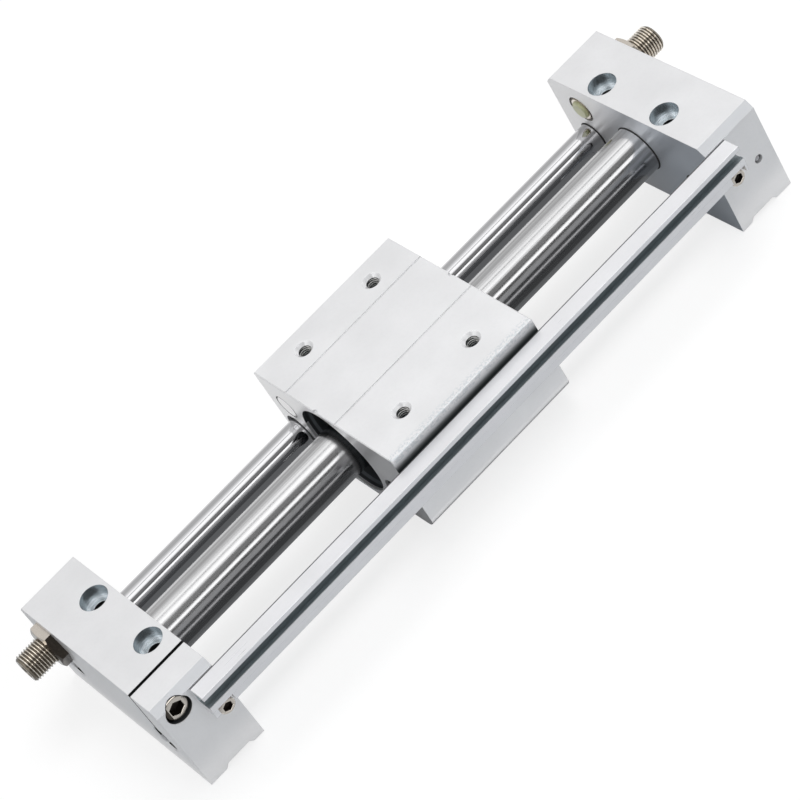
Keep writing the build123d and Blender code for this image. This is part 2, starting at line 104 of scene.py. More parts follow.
class Tree:
    """A material's node tree, built call by call."""

    def __init__(self, name):
        self.material = bpy.data.materials.new(name)
        self.material.use_nodes = True
        self.tree = self.material.node_tree
        self.tree.nodes.clear()
        self.out = self.tree.nodes.new("ShaderNodeOutputMaterial")

    def node(self, kind, **settings):
        made = self.tree.nodes.new(kind)
        for key, value in settings.items():
            setattr(made, key, value)
        return made

    def link(self, source, target):
        self.tree.links.new(source, target)

    def put(self, target, value):
        """Give an input a value, or link it where the value is another node's output."""
        if isinstance(value, bpy.types.NodeSocket):
            self.link(value, target)
        else:
            target.default_value = value

    def math(self, operation, a, b=0.0, c=0.0, clamp=False):
        made = self.node("ShaderNodeMath", operation=operation, use_clamp=clamp)
        self.put(made.inputs[0], a)
        self.put(made.inputs[1], b)
        self.put(made.inputs[2], c)
        return made.outputs[0]

    def minus(self, a, b, clamp=False):
        return self.math("SUBTRACT", a, b, clamp=clamp)

    def times(self, a, b):
        return self.math("MULTIPLY", a, b)

    def most(self, a, b):
        return self.math("MAXIMUM", a, b)

    def unsigned(self, value):
        return self.math("ABSOLUTE", value)

    def above(self, value, limit):
        """1 where a value is over a limit."""
        return self.math("GREATER_THAN", value, limit)

    def below(self, value, limit):
        """1 where a value is under a limit."""
        return self.math("LESS_THAN", value, limit)

    def within(self, value, low, high):
        """1 where a value lies between two limits."""
        return self.times(self.above(value, low), self.below(value, high))

    def all_of(self, *masks):
        found = masks[0]
        for mask in masks[1:]:
            found = self.times(found, mask)
        return found

    def distance(self, a, b):
        return self.math("SQRT", self.math("MULTIPLY_ADD", a, a, self.times(b, b)))

    def parts(self, vector):
        made = self.node("ShaderNodeSeparateXYZ")
        self.link(vector, made.inputs[0])
        return made.outputs[0], made.outputs[1], made.outputs[2]

    def place(self):
        return self.node("ShaderNodeTexCoord").outputs["Object"]

    def normal(self):
        return self.node("ShaderNodeNewGeometry").outputs["Normal"]

    def facing(self):
        return self.parts(self.normal())

    def scaled(self, vector, scale):
        made = self.node("ShaderNodeVectorMath", operation="MULTIPLY")
        self.link(vector, made.inputs[0])
        made.inputs[1].default_value = scale
        return made.outputs[0]

    def noise(self, vector, scale, detail, rough=0.5):
        made = self.node("ShaderNodeTexNoise")
        self.link(vector, made.inputs["Vector"])
        made.inputs["Scale"].default_value = scale
        made.inputs["Detail"].default_value = detail
        made.inputs["Roughness"].default_value = rough
        return made.outputs["Fac"]

    def spread(self, value, low, high, to_low=0.0, to_high=1.0):
        """Map a range of a value onto another, and hold it there at both ends."""
        made = self.node("ShaderNodeMapRange")
        self.link(value, made.inputs["Value"])
        made.inputs["From Min"].default_value = low
        made.inputs["From Max"].default_value = high
        made.inputs["To Min"].default_value = to_low
        made.inputs["To Max"].default_value = to_high
        return made.outputs["Result"]

    def mix(self, factor, a, b):
        made = self.node("ShaderNodeMix", data_type="RGBA")
        self.put(made.inputs["Factor"], factor)
        self.put(made.inputs[6], a)
        self.put(made.inputs[7], b)
        return made.outputs[2]

    def bump(self, height, strength, distance, normal):
        made = self.node("ShaderNodeBump")
        self.link(height, made.inputs["Height"])
        made.inputs["Strength"].default_value = strength
        made.inputs["Distance"].default_value = distance
        self.link(normal, made.inputs["Normal"])
        return made.outputs["Normal"]

    def bevel(self, radius):
        made = self.node("ShaderNodeBevel", samples=4)
        made.inputs["Radius"].default_value = radius
        return made.outputs["Normal"]


def rgba(color, factor=1.0):
    return (color[0] * factor, color[1] * factor, color[2] * factor, 1.0)


def surface(tree, color, metallic, roughness, normal, **more):
    shader = tree.node("ShaderNodeBsdfPrincipled")
    tree.put(shader.inputs["Base Color"], color)
    tree.put(shader.inputs["Metallic"], metallic)
    tree.put(shader.inputs["Roughness"], roughness)
    tree.link(normal, shader.inputs["Normal"])
    for key, value in more.items():
        tree.put(shader.inputs[key.replace("_", " ")], value)
    tree.link(shader.outputs["BSDF"], tree.out.inputs["Surface"])
    return tree.material


# Metal

CLOUD_SCALE = 55.0
CLOUD_DETAIL = 3.0
CLOUD_RANGE = (0.3, 0.7)
CLOUD_ROUGH = 0.10
SPECK_SCALE = 900.0
SPECK_DETAIL = 2.0
SPECK_RANGE = (0.45, 0.75)
SPECK_SHARE = 0.10
SPECK_TONE = 0.82
RUB_HIGHLIGHT_TURN = (0.995, 0.93)
RUB_HIGHLIGHT_PATCHES = (0.35, 0.6, 0.35, 1.0)
RUB_HIGHLIGHT_SHARE = 0.6
RUB_HIGHLIGHT_TONE = 1.12
RUB_POLISH = 0.08
GRAIN_DETAIL = 4.0
GRAIN_CONTRAST = 0.65
GRAIN_STRENGTH = 0.35
STREAK_RANGE = (0.42, 0.62)
STREAK_TONE = 0.35
BLAST_SCALE = 5200.0
BLAST_DETAIL = 1.0
BLAST_STRENGTH = 0.3
TEXTURE_ROUGH = 0.08


def cloudy(t, cloud, color, low, high):
    """A colour between two of its tones, by a cloudy noise."""
    return t.mix(t.spread(cloud, *CLOUD_RANGE), rgba(color, low), rgba(color, high))


def rubbed_highlit(t, bevel, cloud):
    """How far an edge is rubbed bright, which is also a painted highlight: where the rounded normal turns
    from the face's own, in patches.
    """
    turn = t.node("ShaderNodeVectorMath", operation="DOT_PRODUCT")
    t.link(bevel, turn.inputs[0])
    t.link(t.normal(), turn.inputs[1])
    return t.times(t.spread(turn.outputs["Value"], *RUB_HIGHLIGHT_TURN), t.spread(cloud, *RUB_HIGHLIGHT_PATCHES))


def metal(name, color, metallic, rough, grain=None, grain_depth=0.0, blast=0.0, edge=0.00025, mottle=0.04,
          streak=0.0, zones=()):
    """A machined metal: grain lines, blasted texture, cloudy finish and rubbed edges, whose lighter tone
    is also a painted highlight.
    """
    t = Tree(name)
    place = t.place()
    cloud = t.noise(place, CLOUD_SCALE, CLOUD_DETAIL)
    speck = t.noise(place, SPECK_SCALE, SPECK_DETAIL)
    normal = t.bevel(edge)
    rub_highlight = rubbed_highlit(t, normal, cloud)
    tone = cloudy(t, cloud, color, 1.0 - mottle, 1.0 + mottle / 2)
    tone = t.mix(t.times(t.spread(speck, *SPECK_RANGE), SPECK_SHARE), tone, rgba(color, SPECK_TONE))
    # Rubbed edges are lighter: worn metal, and a painted highlight as well
    tone = t.mix(t.times(rub_highlight, RUB_HIGHLIGHT_SHARE), tone, rgba([min(1.0, part * RUB_HIGHLIGHT_TONE) for part in color]))
    texture = None
    if grain is not None:
        texture = t.noise(t.scaled(place, grain), 1.0, GRAIN_DETAIL, GRAIN_CONTRAST)
        normal = t.bump(texture, GRAIN_STRENGTH, grain_depth, normal)
        if streak > 0:
            tone = t.mix(t.times(t.spread(texture, *STREAK_RANGE), streak), tone, rgba(color, STREAK_TONE))
    if blast > 0:
        dots = t.noise(place, BLAST_SCALE, BLAST_DETAIL)
        normal = t.bump(dots, BLAST_STRENGTH, blast, normal)
        if texture is None:
            texture = dots
    shade = t.math("MULTIPLY_ADD", cloud, CLOUD_ROUGH, rough - CLOUD_ROUGH / 2)
    if texture is not None:
        shade = t.math("MULTIPLY_ADD", texture, TEXTURE_ROUGH, t.minus(shade, TEXTURE_ROUGH / 2))
    shade = t.minus(shade, t.times(rub_highlight, RUB_POLISH), clamp=True)
    for find, zone_color, zone_metallic, zone_rough in zones:
        mask = find(t, place)
        tone = t.mix(mask, tone, rgba(zone_color))
        metallic = t.math("MULTIPLY_ADD", mask, t.minus(zone_metallic, metallic), metallic)
        shade = t.math("MULTIPLY_ADD", mask, t.minus(zone_rough, shade), shade)
    return surface(t, tone, metallic, shade, normal)


# Rubber and urethane

SOFT_EDGE = 0.0002
RUBBER_CLOUD = 120.0
RUBBER_GRAIN = 3500.0
RUBBER_TONES = (0.85, 1.15)
RUBBER_STRENGTH = 0.3
RUBBER_BUMP = 0.00005
RUBBER_ROUGH = 0.15
RUBBER_ROUGH_DROP = 0.07
URETHANE_CLOUD = 260.0
URETHANE_GRAIN = 2600.0
URETHANE_TONES = (0.9, 1.1)
URETHANE_STRENGTH = 0.2
URETHANE_BUMP = 0.00004
URETHANE_ROUGH = (0.2, 0.25)
URETHANE_GLOW = 0.15
URETHANE_GLOW_DEPTH = (0.002, 0.002, 0.001)


def rubber(name, color, rough):
    t = Tree(name)
    place = t.place()
    cloud = t.noise(place, RUBBER_CLOUD, CLOUD_DETAIL)
    fine = t.noise(place, RUBBER_GRAIN, SPECK_DETAIL)
    tone = cloudy(t, cloud, color, *RUBBER_TONES)
    normal = t.bump(fine, RUBBER_STRENGTH, RUBBER_BUMP, t.bevel(SOFT_EDGE))
    shade = t.math("MULTIPLY_ADD", fine, RUBBER_ROUGH, rough - RUBBER_ROUGH_DROP)
    return surface(t, tone, 0.0, shade, normal)


def urethane(name, color):
    t = Tree(name)
    place = t.place()
    cloud = t.noise(place, URETHANE_CLOUD, CLOUD_DETAIL)
    fine = t.noise(place, URETHANE_GRAIN, SPECK_DETAIL)
    tone = cloudy(t, cloud, color, *URETHANE_TONES)
    normal = t.bump(fine, URETHANE_STRENGTH, URETHANE_BUMP, t.bevel(SOFT_EDGE))
    shade = t.math("MULTIPLY_ADD", cloud, *URETHANE_ROUGH)
    return surface(t, tone, 0.0, shade, normal,
                   Subsurface_Weight=URETHANE_GLOW, Subsurface_Radius=URETHANE_GLOW_DEPTH)


# Places on the object, in metres, for the masks below; a pair of numbers is a range

# Half a millimetre behind the inner faces of both end plates
PLATE_SKIN = 0.1065

MOUNT_X = 0.112
MOUNT_Y = 0.0145
CLAMP_X = -0.12135
CLAMP_Z = 0.0313
RAIL_SCREW_X = 0.1105
RAIL_SCREW_Z = 0.0226
TUBE_Z = 0.0202
SHAFT_Y = 0.025
SHAFT_Z = 0.0142
BOLT_Y = 0.024
BOLT_Z = 0.027
BOLT_START = 0.1045
CARRIAGE_X = 0.00225
CARRIAGE_HALF = 0.030
TAP_X = 0.015
TAP_Y = 0.0245


# Mounting holes of the end plates: painted shade on the counterbore walls and down the holes, and a
# painted highlight on the seats

COUNTERBORE_WALL = (0.0044, 0.0050)
COUNTERBORE_HEIGHT = (0.0305, 0.03696)
SEAT_REACH = (0.00276, 0.0048)
SEAT_HEIGHT = (0.0305, 0.0325)
MOUNT_HOLE_REACH = 0.00279
MOUNT_HOLE_TOP = 0.03155


def mount_reach(t, place):
    """Distance from the nearest mounting hole's axis, and the height."""
    x, y, z = t.parts(place)
    return t.distance(t.minus(t.unsigned(x), MOUNT_X), t.minus(t.unsigned(y), MOUNT_Y)), z


# Painted shade on a counterbore's wall
def counterbore_wall_shade(t, place):
    reach, z = mount_reach(t, place)
    return t.all_of(t.within(reach, *COUNTERBORE_WALL), t.within(z, *COUNTERBORE_HEIGHT))


# Painted highlight on a counterbore's seat
def counterbore_seat_highlight(t, place):
    reach, z = mount_reach(t, place)
    return t.all_of(t.within(reach, *SEAT_REACH), t.within(z, *SEAT_HEIGHT))


# Painted shade down a mounting hole
def mount_hole_shade(t, place):
    reach, z = mount_reach(t, place)
    return t.all_of(t.below(reach, MOUNT_HOLE_REACH), t.below(z, MOUNT_HOLE_TOP))


# Clamp of end plate A, with painted shade in its slit and in the screw's pocket

SLIT_Y = (-0.0259, -0.0241)
SLIT_FLOOR = 0.0143
SLIT_FACING = 0.5
POCKET_REACH = 0.00465
POCKET_Y = (-0.03745, -0.0250)


# Painted shade in the clamp's slit
def clamp_slit_shade(t, place):
    x, y, z = t.parts(place)
    side = t.above(t.unsigned(t.facing()[1]), SLIT_FACING)
    return t.all_of(t.within(y, *SLIT_Y), t.above(z, SLIT_FLOOR), t.below(x, 0.0), side)


# Painted shade in the clamp screw's pocket
def clamp_pocket_shade(t, place):
    x, y, z = t.parts(place)
    reach = t.distance(t.minus(x, CLAMP_X), t.minus(z, CLAMP_Z))
    return t.all_of(t.below(reach, POCKET_REACH), t.within(y, *POCKET_Y))


# Faces of the end plates that get painted shade

SIDE_FADE = (0.016, -0.016)
SIDE_SHARE = 0.8
SIDE_FACING = 0.9
BEVEL_FACING_Y = (-0.9, -0.4)
BEVEL_FACING_Z = (0.4, 0.9)


def inner_side_shade(t, place):
    """Painted shade on the plates' inner faces, bluer and darker towards the rail."""
    x, y, z = t.parts(place)
    deep = t.times(t.spread(y, *SIDE_FADE), SIDE_SHARE)
    face = t.above(t.unsigned(t.facing()[0]), SIDE_FACING)
    return t.all_of(deep, face, t.below(t.unsigned(x), PLATE_SKIN))


def upper_bevel_shade(t, place):
    """Painted shade on the chamfer between a plate's top and its rail side."""
    facing = t.facing()
    return t.all_of(t.within(facing[1], *BEVEL_FACING_Y), t.within(facing[2], *BEVEL_FACING_Z))


# Rims where tube and shafts meet the end plates, with painted shade

TUBE_RIM = (0.0084, 0.00885)
SHAFT_RIM = (0.0049, 0.0054)
SHAFT_MOUTH = (0.0049, 0.00508)
MOUTH_X = (-0.12765, -0.1060)
PIPE_END_X = (0.1056, PLATE_SKIN)


# Painted shade round the tube and the shafts where they meet the plates
def pipe_rim_shade(t, place):
    x, y, z = t.parts(place)
    tube = t.distance(y, t.minus(z, TUBE_Z))
    shaft = t.distance(t.minus(t.unsigned(y), SHAFT_Y), t.minus(z, SHAFT_Z))
    inner = t.below(t.unsigned(x), PLATE_SKIN)
    tube_rim = t.times(t.within(tube, *TUBE_RIM), inner)
    shaft_rim = t.times(t.within(shaft, *SHAFT_RIM), inner)
    mouth = t.times(t.within(shaft, *SHAFT_MOUTH), t.within(x, *MOUTH_X))
    return t.most(tube_rim, t.most(shaft_rim, mouth))


def pipe_end_shade(t, place):
    """Painted shade on the last bit of the tube and the shafts before a plate."""
    x, y, z = t.parts(place)
    return t.within(t.unsigned(x), *PIPE_END_X)


# Taps and stop pads of the slide block, with painted shade on the taps' walls and round the pads

TAP_REACH = 0.00203
TAP_WALL_REACH = (TAP_REACH, 0.00214)
TAP_TOP = 0.0377
PAD_REACH = (0.0042, 0.00452)
PAD_INSET = 0.0299


def tap_reach(t, place):
    """Distance from the nearest tap's axis, and the height."""
    x, y, z = t.parts(place)
    across = t.minus(t.unsigned(t.minus(x, CARRIAGE_X)), TAP_X)
    return t.distance(across, t.minus(t.unsigned(y), TAP_Y)), z


# Painted shade on the walls of the taps
def tap_wall_shade(t, place):
    reach, z = tap_reach(t, place)
    return t.all_of(t.within(reach, *TAP_WALL_REACH), t.below(z, TAP_TOP))


def tap_crest(t, place):
    reach, z = tap_reach(t, place)
    return t.all_of(t.below(reach, TAP_REACH), t.below(z, TAP_TOP))


# Painted shade in the ring round each stop pad
def pad_rim_shade(t, place):
    x, y, z = t.parts(place)
    reach = t.distance(t.minus(y, BOLT_Y), t.minus(z, BOLT_Z))
    end = t.above(t.unsigned(t.minus(x, CARRIAGE_X)), PAD_INSET)
    return t.all_of(t.within(reach, *PAD_REACH), end)


# The slide block's side above the rail, and its grainy upper edge, where painted shade is mixed in with
# the speckles

SHADE_FADE = (0.0384, 0.0338)
SHADE_CURVE = 1.3
SHADE_FOOT = 0.0236
SHADE_FACING = -0.5
EDGE_SCALE = 1300.0
EDGE_RANGE = (0.46, 0.56)
EDGE_SHARE = 0.6
EDGE_FADE = (-0.0336, -0.0352)
EDGE_FOOT = 0.0365


def rail_shade(t, place):
    """The side that mirrors the dark rail, darker further down."""
    x, y, z = t.parts(place)
    side = t.below(t.facing()[1], SHADE_FACING)
    deep = t.math("POWER", t.spread(z, *SHADE_FADE), SHADE_CURVE)
    return t.all_of(deep, side, t.above(z, SHADE_FOOT))


# Speckles on the side's upper edge, whose darker tone is also painted shade, stronger towards the side
# face
def edge_grain_shade(t, place):
    x, y, z = t.parts(place)
    specks = t.times(t.spread(t.noise(place, EDGE_SCALE, 1.0), *EDGE_RANGE), EDGE_SHARE)
    return t.all_of(specks, t.spread(y, *EDGE_FADE), t.above(z, EDGE_FOOT))


# Bore of the slide block, from its end faces inward, with painted shade in dark bands and a painted
# highlight in a lighter band

BORE_WALL = (0.0164, 0.0176)
BORE_EDGE_INSET = (0.0010, 0.0020)
BORE_RING_INSET = (0.0020, 0.0030)
BORE_INSET = (0.0030, 0.0075)
HOLDER_INSET = 0.0066
HOLDER_REACH = 0.0060


def bore_reach(t, place):
    """Distance from the tube's axis, and how far a place lies inside the nearer end face."""
    x, y, z = t.parts(place)
    inset = t.minus(CARRIAGE_HALF, t.unsigned(t.minus(x, CARRIAGE_X)))
    return t.distance(y, t.minus(z, TUBE_Z)), inset


# Painted shade in the bore's dark bands
def bore_shade(t, place):
    reach, inset = bore_reach(t, place)
    deep = t.most(t.within(inset, *BORE_EDGE_INSET), t.within(inset, *BORE_INSET))
    return t.all_of(t.within(reach, *BORE_WALL), deep)


# Painted highlight in the lighter band, which stands for a ring in the bore
def bore_highlight(t, place):
    reach, inset = bore_reach(t, place)
    return t.all_of(t.within(reach, *BORE_WALL), t.within(inset, *BORE_RING_INSET))


def holder_end(t, place):
    """The outer end of a slider end holder, which lies in the shade of the bore."""
    reach, inset = bore_reach(t, place)
    return t.all_of(t.below(inset, HOLDER_INSET), t.above(reach, HOLDER_REACH))


# Sensor rail, with painted shade inside its slot, darker low in it, and along the back edge of its top

SLOT_Y = (-0.04372, -0.0384)
SLOT_Z = (0.0283, 0.0330)
SLOT_LOW_Z = (0.0283, 0.0293)
RAIL_BACK_Y = -0.0381
RAIL_TOP_Z = 0.0338


# Painted shade inside the slot
def slot_shade(t, place):
    x, y, z = t.parts(place)
    return t.all_of(t.within(z, *SLOT_Z), t.within(y, *SLOT_Y))


# More painted shade low in the slot
def slot_low_shade(t, place):
    x, y, z = t.parts(place)
    return t.all_of(t.within(z, *SLOT_LOW_Z), t.within(y, *SLOT_Y))


# Painted shade along the back edge of the rail's top
def rail_back_edge_shade(t, place):
    x, y, z = t.parts(place)
    return t.all_of(t.above(y, RAIL_BACK_Y), t.above(z, RAIL_TOP_Z))


# Bolts, nuts and screws, with painted glints on the thread's crests and painted shade in the grooves, the
# sockets and on the lock nut's flanks

GROOVE_REACH = (0.0038, 0.00472)
GROOVE_FACING = 0.97
CREST_REACH = (0.00472, 0.0051)
GLINT_SCALE = 1500.0
GLINT_RANGE = (0.46, 0.56)
BOLT_SOCKET_REACH = 0.0029
BOLT_SOCKET_START = 0.1262
NUT_REACH = 0.0053
NUT_X = (-0.1320, -0.1240)
NUT_FACING = -0.3
CLAMP_SOCKET_REACH = 0.0027
CLAMP_SOCKET_Y = -0.03655
RAIL_SOCKET_REACH = 0.0018
RAIL_SOCKET_Y = (-0.04225, -0.038)


def bolt_reach(t, place):
    """Distance from the adjusting bolts' axis, and the place along it."""
    x, y, z = t.parts(place)
    return t.distance(t.minus(y, BOLT_Y), t.minus(z, BOLT_Z)), x


def bolt_groove_shade(t, place):
    """Painted shade in the thread's grooves and inside the sockets."""
    reach, x = bolt_reach(t, place)
    flank = t.below(t.unsigned(t.facing()[0]), GROOVE_FACING)
    groove = t.all_of(t.within(reach, *GROOVE_REACH), t.above(t.unsigned(x), BOLT_START), flank)
    socket = t.all_of(t.below(reach, BOLT_SOCKET_REACH), t.above(t.unsigned(x), BOLT_SOCKET_START))
    return t.most(groove, socket)


def bolt_crest_glint(t, place):
    """Painted glints on the thread's crests."""
    reach, x = bolt_reach(t, place)
    glint = t.spread(t.noise(place, GLINT_SCALE, 1.0), *GLINT_RANGE)
    return t.all_of(t.within(reach, *CREST_REACH), t.above(t.unsigned(x), BOLT_START), glint)


def nut_flank_shade(t, place):
    """Painted shade on the flanks of plate A's lock nut that face the rail."""
    reach, x = bolt_reach(t, place)
    return t.all_of(t.above(reach, NUT_REACH), t.within(x, *NUT_X), t.below(t.facing()[1], NUT_FACING))


# Painted shade inside the sockets of the clamp screw and the rail screws
def screw_socket_shade(t, place):
    x, y, z = t.parts(place)
    clamp = t.distance(t.minus(x, CLAMP_X), t.minus(z, CLAMP_Z))
    clamp = t.all_of(t.below(clamp, CLAMP_SOCKET_REACH), t.above(y, CLAMP_SOCKET_Y))
    rail = t.distance(t.minus(t.unsigned(x), RAIL_SCREW_X), t.minus(z, RAIL_SCREW_Z))
    rail = t.all_of(t.below(rail, RAIL_SOCKET_REACH), t.within(y, *RAIL_SOCKET_Y))
    return t.most(clamp, rail)


# Finish of every material slot

finishes = {}


def finish(make, slot, *look, **more):
    """Make a material and keep it under its slot's name."""
    finishes[slot] = make(slot, *look, **more)


# A zone is its mask, and the colour, the metal share and the roughness that the finish has there
# Plates: a painted highlight on the counterbore seats, painted shade in every other zone
PLATE_ZONES = ((counterbore_wall_shade, (0.50, 0.545, 0.57), 0.86, 0.27),
               (counterbore_seat_highlight, (0.80, 0.84, 0.87), 0.8, 0.26),
               (inner_side_shade, (0.62, 0.68, 0.76), 0.50, 0.36),
               (pipe_rim_shade, (0.03, 0.03, 0.03), 0.0, 0.60),
               (upper_bevel_shade, (0.63, 0.64, 0.66), 0.50, 0.36),
               (mount_hole_shade, (0.012, 0.012, 0.013), 0.0, 0.60),
               (clamp_slit_shade, (0.010, 0.010, 0.011), 0.0, 0.60),
               (clamp_pocket_shade, (0.06, 0.065, 0.07), 0.6, 0.40))
# Slide block: painted shade in every zone but two; the tap crests keep the metal's light tone, and the
# bore's lighter band is a painted highlight
BLOCK_ZONES = ((tap_wall_shade, (0.05, 0.05, 0.05), 0.6, 0.40),
               (tap_crest, (0.85, 0.84, 0.82), 0.6, 0.30),
               (pad_rim_shade, (0.05, 0.05, 0.05), 0.0, 0.60),
               (edge_grain_shade, (0.56, 0.60, 0.63), 0.5, 0.36),
               (rail_shade, (0.11, 0.125, 0.13), 0.7, 0.35),
               (bore_shade, (0.060, 0.064, 0.07), 0.5, 0.40),
               (bore_highlight, (0.36, 0.39, 0.42), 0.5, 0.25))
# Rail: painted shade in every zone
RAIL_ZONES = ((slot_shade, (0.48, 0.54, 0.57), 0.25, 0.40),
              (slot_low_shade, (0.20, 0.226, 0.24), 0.2, 0.50),
              (rail_back_edge_shade, (0.09, 0.09, 0.095), 0.0, 0.50))
# Painted shade at the ends of the tube and shafts
PIPE_ZONES = ((pipe_end_shade, (0.04, 0.04, 0.04), 0.0, 0.60),)
# Painted shade at the holders' outer ends
HOLDER_ZONES = ((holder_end, (0.10, 0.11, 0.12), 0.6, 0.38),)
# Screws: painted glints on the thread's crests, painted shade in the other zones
SCREW_ZONES = ((bolt_crest_glint, (0.90, 0.85, 0.76), 1.0, 0.16),
               (bolt_groove_shade, (0.22, 0.195, 0.16), 1.0, 0.25),
               (nut_flank_shade, (0.07, 0.06, 0.05), 1.0, 0.22),
               (screw_socket_shade, (0.05, 0.042, 0.036), 0.8, 0.35))

finish(metal, "plate_aluminium", (0.77, 0.77, 0.78), metallic=0.50, rough=0.36, blast=0.00003,
       zones=PLATE_ZONES)
finish(metal, "block_aluminium", (0.815, 0.815, 0.825), metallic=0.50, rough=0.32, blast=0.00001,
       grain=(40.0, 1800.0, 1800.0), grain_depth=0.00002, zones=BLOCK_ZONES)
finish(metal, "rail_aluminium", (0.80, 0.80, 0.82), metallic=0.50, rough=0.30,
       grain=(12.0, 2600.0, 2600.0), grain_depth=0.00002, zones=RAIL_ZONES)
finish(metal, "tube_steel", (0.52, 0.52, 0.525), metallic=1.0, rough=0.15, mottle=0.03,
       grain=(3.0, 900.0, 900.0), grain_depth=0.000004, streak=0.26, zones=PIPE_ZONES)
finish(metal, "shaft_chrome", (0.50, 0.50, 0.51), metallic=1.0, rough=0.06, mottle=0.02, zones=PIPE_ZONES)
finish(metal, "nickel_steel", (0.64, 0.59, 0.53), metallic=1.0, rough=0.18, blast=0.000006, edge=0.00015,
       zones=SCREW_ZONES)
finish(metal, "ball_steel", (0.42, 0.42, 0.43), metallic=1.0, rough=0.12)
finish(rubber, "black_rubber", (0.022, 0.022, 0.023), rough=0.6)
finish(urethane, "urethane", (0.64, 0.65, 0.40))
finish(metal, "inner_aluminium", (0.72, 0.73, 0.75), metallic=0.9, rough=0.32,
       grain=(5200.0, 60.0, 60.0), grain_depth=0.00001, zones=HOLDER_ZONES)
finish(metal, "spring_steel", (0.045, 0.047, 0.05), metallic=0.8, rough=0.36, blast=0.00001)
finish(metal, "magnet", (0.33, 0.33, 0.35), metallic=1.0, rough=0.34, blast=0.00001)
finish(metal, "yoke_steel", (0.52, 0.52, 0.54), metallic=1.0, rough=0.32, blast=0.00001)
finish(rubber, "resin", (0.16, 0.14, 0.12), rough=0.5)
finish(metal, "bush_bronze", (0.60, 0.45, 0.24), metallic=1.0, rough=0.36, blast=0.00001)
finish(metal, "turned_steel", (0.62, 0.62, 0.63), metallic=1.0, rough=0.24,
       grain=(60.0, 5200.0, 5200.0), grain_depth=0.000006)

slot_of = {row["node"]: row["material_slot"] for row in frame["record"]["subparts"]}
for name, obj in nodes.items():
    obj.data.materials.clear()
    obj.data.materials.append(finishes[slot_of[name]])


# Mesh helpers, in millimetres

AXES = {"x": (Vector((1, 0, 0)), Vector((0, 1, 0)), Vector((0, 0, 1))),
        "y": (Vector((0, 1, 0)), Vector((1, 0, 0)), Vector((0, 0, -1))),
        "z": (Vector((0, 0, 1)), Vector((1, 0, 0)), Vector((0, 1, 0)))}
SHARP_ANGLE = 28
SAME_SPOT = 1e-7
NO_LENGTH = 1e-8
AXIS_R = 0.05


def vertex(bm, axis, centre, at, radius, angle):
    """A vertex at a place along an axis, and at a radius and an angle about it."""
    main, first, second = AXES[axis]
    across = first * (radius * math.cos(angle)) + second * (radius * math.sin(angle))
    return bm.verts.new((Vector(centre) + main * at + across) * MM)


def skin(bm, rows):
    """Join rings of vertices with faces, and close both ends."""
    count = len(rows[0])
    for a, b in zip(rows, rows[1:]):
        for i in range(count):
            j = (i + 1) % count
            bm.faces.new((a[i], a[j], b[j], b[i]))
    bm.faces.new(rows[0][::-1])
    bm.faces.new(rows[-1])


def piece_from(bm, name, body, slot, smooth):
    """Turn a bmesh into a piece that rides on a body and has a slot's finish."""
    bmesh.ops.recalc_face_normals(bm, faces=bm.faces)
    mesh = bpy.data.meshes.new(name)
    bm.to_mesh(mesh)
    bm.free()
    obj = in_scene(name, mesh)
    mesh.materials.append(finishes[slot])
    if smooth:
        for polygon in mesh.polygons:
            polygon.use_smooth = True
        mesh.set_sharp_from_angle(angle=math.radians(SHARP_ANGLE))
    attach(obj, body)
    return obj


def turned(name, axis, centre, rings, count, body, slot):
    """A piece of rings along an axis. A ring is (along, radius), or a function of the angle for both."""
    bm = bmesh.new()
    rows = []
    for ring in rings:
        row = []
        for i in range(count):
            angle = 2 * math.pi * i / count
            at, radius = ring(angle) if callable(ring) else ring
            row.append(vertex(bm, axis, centre, at, radius, angle))
        rows.append(row)
    skin(bm, rows)
    bmesh.ops.remove_doubles(bm, verts=bm.verts, dist=SAME_SPOT)
    bmesh.ops.dissolve_degenerate(bm, edges=bm.edges, dist=NO_LENGTH)
    return piece_from(bm, name, body, slot, smooth=True)


def hexagon(flats, turn=0.0):
    """Radius of a hexagon at an angle."""
    def radius(angle):
        part = (angle - turn) % (math.pi / 3) - math.pi / 6
        return flats / 2 / math.cos(part)
    return radius


# Adjusting bolts

PITCH = 1.0
PITCH_STEPS = 12
BOLT_R = 5.0
ROOT_R = 4.42
CREST_SHARE = 0.06
FLANK_SHARE = 0.38
BOLT_SIDES = 72
BOLT_END_R = ROOT_R - 0.35
BOLT_END_SLOPE = 0.9
BOLT_SOCKET = 5.0
BOLT_SOCKET_DEPTH = 5.9
BOLT_SOCKET_TIP = 6.9
BOLT_SOCKET_CHAMFER = 0.35
BUMPER_SEAT_R = 3.32
BUMPER_SEAT_DEPTH = 2.9
BOLT_CENTRE = (0.0, BOLT_Y / MM, BOLT_Z / MM)


def thread_profile(phase):
    """Radius of the thread at a phase from 0 to 1, with the middle of its crest at 0."""
    off = min(phase % 1.0, 1.0 - phase % 1.0)
    down = (off - CREST_SHARE) / FLANK_SHARE
    return BOLT_R + (ROOT_R - BOLT_R) * min(1.0, max(0.0, down))


